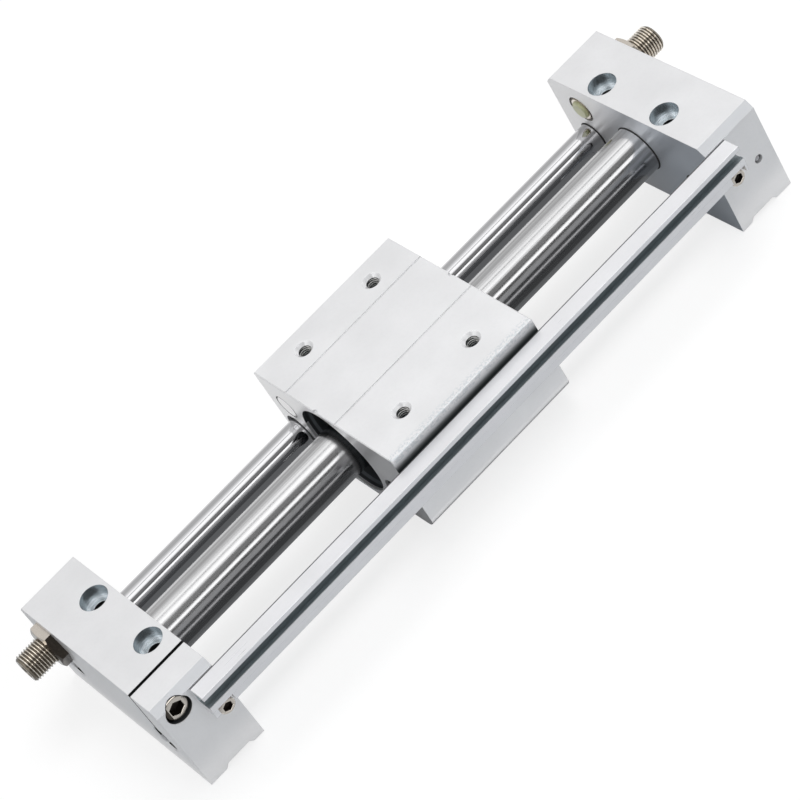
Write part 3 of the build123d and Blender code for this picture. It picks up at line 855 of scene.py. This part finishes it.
def bolt(name, node, body, sign):
    low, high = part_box(node)
    outer = (low.x if sign < 0 else high.x) / MM
    inner = (high.x if sign < 0 else low.x) / MM
    length = abs(outer - inner)
    socket = hexagon(BOLT_SOCKET)
    total = int(length / PITCH * PITCH_STEPS) + 1

    def threaded(depth):
        def ring(angle):
            radius = thread_profile(depth / PITCH - angle / (2 * math.pi))
            outer_end = BOLT_END_R + depth * BOLT_END_SLOPE
            inner_end = BOLT_END_R + (length - depth) * BOLT_END_SLOPE
            return outer - sign * depth, min(radius, outer_end, inner_end)
        return ring

    def hex_at(depth, grow=0.0):
        return lambda angle: (outer - sign * depth, socket(angle) + grow)

    seat = inner + sign * BUMPER_SEAT_DEPTH
    rings = [(outer - sign * BOLT_SOCKET_TIP, AXIS_R), hex_at(BOLT_SOCKET_DEPTH)]
    rings += [hex_at(BOLT_SOCKET_CHAMFER), hex_at(0.0, BOLT_SOCKET_CHAMFER)]
    rings += [threaded(length * i / total) for i in range(total + 1)]
    rings += [(inner, BUMPER_SEAT_R), (seat, BUMPER_SEAT_R), (seat, AXIS_R)]
    piece = turned(name, "x", BOLT_CENTRE, rings, BOLT_SIDES, body, "nickel_steel")
    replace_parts(piece, node)


bolt("stop_bolt_a", "adjusting_bolt_a", "bolt_a", -1)
bolt("stop_bolt_b", "adjusting_bolt_b", "bolt_b", 1)


# Socket head screws

HEAD_SIDES = 96
HEAD_SOCKET_CHAMFER = 0.15
HEAD_SOCKET_DEPTH = 0.58
HEAD_SOCKET_TIP = 0.66
HEAD_EDGE = ((0.0, 0.55), (0.12, 0.3))
HEAD_FOOT_CHAMFER = 0.1
KNURL_TOP = (0.45, 0.6)
KNURL_FOOT = (-0.5, -0.35)
KNURL_DEPTH = 0.12
KNURL_END_DEPTH = 0.02
SHANK_CHAMFER = (0.5, 0.45)
RAIL_SCREW = {"head": 5.5, "height": 3.0, "flats": 3.0, "shank": 2.4, "knurls": 24}
CLAMP_SCREW = {"head": 8.5, "height": 5.0, "flats": 4.5, "shank": 4.1, "knurls": 32}


def head_screw(name, centre, length, head, height, flats, shank, knurls):
    """A socket head screw along +Y, seen from -Y; centre is its head seat, in mm."""
    radius = head / 2
    socket = hexagon(flats, math.pi / 6)
    top = -height

    def hex_at(at, grow=0.0):
        return lambda angle: (at, socket(angle) + grow)

    def knurled(at, depth):
        return lambda angle: (at, radius - depth * (0.5 + 0.5 * math.cos(knurls * angle)))

    rings = [(top + height * HEAD_SOCKET_TIP, AXIS_R), hex_at(top + height * HEAD_SOCKET_DEPTH)]
    rings += [hex_at(top + HEAD_SOCKET_CHAMFER), hex_at(top, HEAD_SOCKET_CHAMFER)]
    rings += [(top + down, radius - inward) for down, inward in HEAD_EDGE]
    rings += [knurled(top + KNURL_TOP[0], KNURL_END_DEPTH), knurled(top + KNURL_TOP[1], KNURL_DEPTH)]
    rings += [knurled(KNURL_FOOT[0], KNURL_DEPTH), knurled(KNURL_FOOT[1], KNURL_END_DEPTH)]
    rings += [(0.0, radius - HEAD_FOOT_CHAMFER), (0.0, shank / 2)]
    rings += [(length - SHANK_CHAMFER[0], shank / 2), (length, shank / 2 - SHANK_CHAMFER[1])]
    return turned(name, "y", centre, rings, HEAD_SIDES, "frame", "nickel_steel")


def join_pieces(pieces, name):
    first = pieces[0]
    chosen = {"active_object": first, "selected_objects": pieces, "selected_editable_objects": pieces}
    with bpy.context.temp_override(**chosen):
        bpy.ops.object.join()
    first.name = name
    return first


def rail_screws():
    low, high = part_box("rail_screws")
    seat = low.y / MM + RAIL_SCREW["height"]
    z = (low.z + high.z) / 2 / MM
    inset = RAIL_SCREW["head"] / 2
    made = []
    for tag, x in (("rail_screw_1", low.x / MM + inset), ("rail_screw_2", high.x / MM - inset)):
        made.append(head_screw(tag, (x, seat, z), high.y / MM - seat, **RAIL_SCREW))
    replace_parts(join_pieces(made, "rail_head_screws"), "rail_screws")


def clamp_screw():
    low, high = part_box("clamp_screw")
    seat = low.y / MM + CLAMP_SCREW["height"]
    centre = ((low.x + high.x) / 2 / MM, seat, (low.z + high.z) / 2 / MM)
    piece = head_screw("clamp_head_screw", centre, high.y / MM - seat, **CLAMP_SCREW)
    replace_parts(piece, "clamp_screw")


rail_screws()
clamp_screw()


# Thread inside the tapped holes

RIDGE_STEPS = 40
RIDGE_FADE_STEPS = 12
RIDGE_R = 2.1
RIDGE_PITCH = 0.8
RIDGE_SINK = 0.02
RIDGE_RISE = -0.2
TAP_RIDGE_START = 29.6
TAP_RIDGE_LENGTH = 7.5
PORT_RIDGE_START = -126.8
PORT_RIDGE_LENGTH = 4.0

# Section of the ridge: shares of the pitch along the hole, and how far outside the wall, in mm
RIDGE_SECTION = ((-0.42, RIDGE_SINK), (-0.06, RIDGE_RISE), (0.06, RIDGE_RISE), (0.42, RIDGE_SINK))


def inner_thread(name, axis, start, length, body, slot):
    """A thin wound ridge on a hole's wall, from a start in mm along +axis. It fades out at both ends."""
    bm = bmesh.new()
    steps = int(length / RIDGE_PITCH * RIDGE_STEPS)
    rows = []
    for i in range(steps + 1):
        angle = 2 * math.pi * i / RIDGE_STEPS
        at = RIDGE_PITCH * i / RIDGE_STEPS
        fade = min(1.0, i / RIDGE_FADE_STEPS, (steps - i) / RIDGE_FADE_STEPS)
        row = []
        for shift, rise in RIDGE_SECTION:
            radius = RIDGE_R + RIDGE_SINK + (rise - RIDGE_SINK) * fade
            row.append(vertex(bm, axis, start, at + shift * RIDGE_PITCH, radius, angle))
        rows.append(row)
    skin(bm, rows)
    return piece_from(bm, name, body, slot, smooth=False)


def inner_threads():
    corners = [(x, y) for x in (-TAP_X, TAP_X) for y in (-TAP_Y, TAP_Y)]
    for i, (dx, dy) in enumerate(corners):
        start = ((CARRIAGE_X + dx) / MM, dy / MM, TAP_RIDGE_START)
        name = f"carriage_thread_{i + 1}"
        inner_thread(name, "z", start, TAP_RIDGE_LENGTH, "carriage", "block_aluminium")
    for tag, y in (("a", SHAFT_Y), ("b", -SHAFT_Y)):
        start = (PORT_RIDGE_START, y / MM, SHAFT_Z / MM)
        inner_thread(f"port_thread_{tag}", "x", start, PORT_RIDGE_LENGTH, "frame", "shaft_chrome")


inner_threads()


# Floor: nearly white with its shadows for the camera and in reflections, and light grey for other light

FLOOR_HALF = 4.0
FLOOR_Z = -0.0002
FLOOR_GREY = 0.80
SHOWN_GREY = 0.30
SHOWN_GLOW = 0.75


def floor():
    mesh = bpy.data.meshes.new("floor")
    half = FLOOR_HALF
    corners = [(-half, -half, 0), (half, -half, 0), (half, half, 0), (-half, half, 0)]
    mesh.from_pydata(corners, [], [(0, 1, 2, 3)])
    obj = in_scene("floor", mesh)
    obj.location.z = FLOOR_Z
    t = Tree("floor")
    diffuse = t.node("ShaderNodeBsdfDiffuse")
    diffuse.inputs["Color"].default_value = rgba(WHITE, FLOOR_GREY)
    path = t.node("ShaderNodeLightPath")
    seen = t.most(path.outputs["Is Camera Ray"], path.outputs["Is Transmission Ray"])
    seen = t.most(seen, path.outputs["Is Glossy Ray"])
    shown = t.node("ShaderNodeBsdfDiffuse")
    shown.inputs["Color"].default_value = rgba(WHITE, SHOWN_GREY)
    lift = t.node("ShaderNodeEmission")
    lift.inputs["Color"].default_value = rgba(WHITE)
    lift.inputs["Strength"].default_value = SHOWN_GLOW
    both = t.node("ShaderNodeAddShader")
    t.link(shown.outputs[0], both.inputs[0])
    t.link(lift.outputs[0], both.inputs[1])
    mixed = t.node("ShaderNodeMixShader")
    t.link(seen, mixed.inputs[0])
    t.link(diffuse.outputs[0], mixed.inputs[1])
    t.link(both.outputs[0], mixed.inputs[2])
    t.link(mixed.outputs[0], t.out.inputs["Surface"])
    mesh.materials.append(t.material)


# Panels of the studio, which only reflections show, as the bands on the bright metal

STUDIO_RADIUS = 0.9
STUDIO_REACH = 1.1
STUDIO_LIFT = 0.02
PANEL_STEPS = 8
CARD_COOL = 0.03
UNDER_X = (-0.126, 0.126)
WALL_CARD_Y = -0.0373

# Upper angle in degrees and level of each band, from the front floor line over the top to the back
BANDS = ((7, 0.25), (10, 0.9), (17, 0.12), (21, 0.62), (33, 0.14), (46, 2.1), (54, 0.18), (72, 0.32),
         (79, 1.3), (98, 2.0), (104, 0.9), (114, 1.9), (124, 1.4), (136, 1.0), (178, 0.78))

# Name, range along X, range along Y and level of each card on the floor; the dark cards between the
# plates, under the object, are painted shade of the floor there for reflections
FLOOR_CARDS = (("floor_shade_card_front", UNDER_X, (-0.0372, -0.016), 0.08),
               ("floor_shade_card_middle", UNDER_X, (-0.016, 0.02), 0.20),
               ("side_floor_card", (-1.1, -0.130), (-0.5, 0.9), 0.55),
               ("back_floor_shade_card", UNDER_X, (0.02, 0.044), 0.34),
               ("front_floor_card", (-0.2, 0.2), (-0.5, -0.046), 0.66))

# Name, range along X, range in height and level of each upright card behind the rail; they are dark,
# painted shade between the rail and the tube and slide block, for reflections
WALL_CARDS = (("tube_front_shade_card_a", (-0.105, -0.029), (0.0, 0.024), 0.10),
              ("tube_front_shade_card_b", (0.034, 0.105), (0.0, 0.024), 0.10),
              ("rail_gap_shade_card", (-0.029, 0.034), (0.024, 0.0338), 0.02))


def reflected_only(name, points, faces, level, cool=0.0):
    """A lit or dark panel that only reflections show."""
    mesh = bpy.data.meshes.new(name)
    mesh.from_pydata(points, [], faces)
    obj = in_scene(name, mesh)
    t = Tree(name)
    glow = t.node("ShaderNodeEmission")
    glow.inputs["Color"].default_value = (level * (1.0 - cool), level, level * (1.0 + cool), 1.0)
    t.link(glow.outputs[0], t.out.inputs["Surface"])
    mesh.materials.append(t.material)
    obj.visible_camera = False
    obj.visible_diffuse = False
    obj.visible_shadow = False
    obj.visible_transmission = False
    obj.visible_volume_scatter = False


def band(name, start, stop, level):
    """A curved panel along X, between two angles over the front floor line, in degrees."""
    points = []
    for i in range(PANEL_STEPS + 1):
        angle = math.radians(start + (stop - start) * i / PANEL_STEPS)
        y = -STUDIO_RADIUS * math.cos(angle)
        z = STUDIO_RADIUS * math.sin(angle) + STUDIO_LIFT
        points += [(-STUDIO_REACH, y, z), (STUDIO_REACH, y, z)]
    faces = [(2 * i, 2 * i + 1, 2 * i + 3, 2 * i + 2) for i in range(PANEL_STEPS)]
    reflected_only(name, points, faces, level)


def card(name, corners, level):
    """A flat panel between four corners."""
    reflected_only(name, corners, [(0, 1, 2, 3)], level, CARD_COOL)


def panels():
    for name, (left, right), (near, far), level in FLOOR_CARDS:
        card(name, [(left, near, 0.0), (right, near, 0.0), (right, far, 0.0), (left, far, 0.0)], level)
    y = WALL_CARD_Y
    for name, (left, right), (foot, top), level in WALL_CARDS:
        card(name, [(left, y, foot), (right, y, foot), (right, y, top), (left, y, top)], level)
    start = 0.0
    for i, (stop, level) in enumerate(BANDS):
        band(f"band_{i + 1}", start, stop, level)
        start = stop


# Surroundings and lights: white for the camera and in reflections, and a softer light on the object

SOFT_LEVEL = 0.45
KEY_SPOT = (0.45, 0.1, 1.5)
KEY_POWER = 11.8
KEY_SIZE = 1.0
FILL_SPOT = (0.3, -1.4, 1.1)
FILL_POWER = 4.4
FILL_SIZE = 0.8
FILL_COLOR = (0.88, 0.95, 1.0)


def world():
    made = bpy.data.worlds.new("studio")
    bpy.context.scene.world = made
    made.use_nodes = True
    tree = made.node_tree
    tree.nodes.clear()
    out = tree.nodes.new("ShaderNodeOutputWorld")
    path = tree.nodes.new("ShaderNodeLightPath")
    soft = tree.nodes.new("ShaderNodeBackground")
    soft.inputs["Color"].default_value = rgba(WHITE)
    soft.inputs["Strength"].default_value = SOFT_LEVEL
    white = tree.nodes.new("ShaderNodeBackground")
    white.inputs["Color"].default_value = rgba(WHITE)
    seen = path.outputs["Is Camera Ray"]
    for other in ("Is Glossy Ray", "Is Transmission Ray"):
        most = tree.nodes.new("ShaderNodeMath")
        most.operation = "MAXIMUM"
        tree.links.new(seen, most.inputs[0])
        tree.links.new(path.outputs[other], most.inputs[1])
        seen = most.outputs[0]
    mixed = tree.nodes.new("ShaderNodeMixShader")
    tree.links.new(seen, mixed.inputs[0])
    tree.links.new(soft.outputs[0], mixed.inputs[1])
    tree.links.new(white.outputs[0], mixed.inputs[2])
    tree.links.new(mixed.outputs[0], out.inputs["Surface"])


def area(name, spot, size, power, color):
    """A square lamp that looks at the middle of the object's foot."""
    data = bpy.data.lights.new(name, "AREA")
    data.shape = "RECTANGLE"
    data.size = size
    data.size_y = size
    data.energy = power
    data.color = color
    obj = in_scene(name, data)
    obj.location = spot
    direction = -Vector(spot)
    obj.rotation_euler = direction.to_track_quat("-Z", "Y").to_euler()
    obj.visible_glossy = False


floor()
world()
area("key", KEY_SPOT, KEY_SIZE, KEY_POWER, WHITE)
area("fill", FILL_SPOT, FILL_SIZE, FILL_POWER, FILL_COLOR)
panels()

scene = bpy.context.scene
scene.view_settings.view_transform = "Standard"
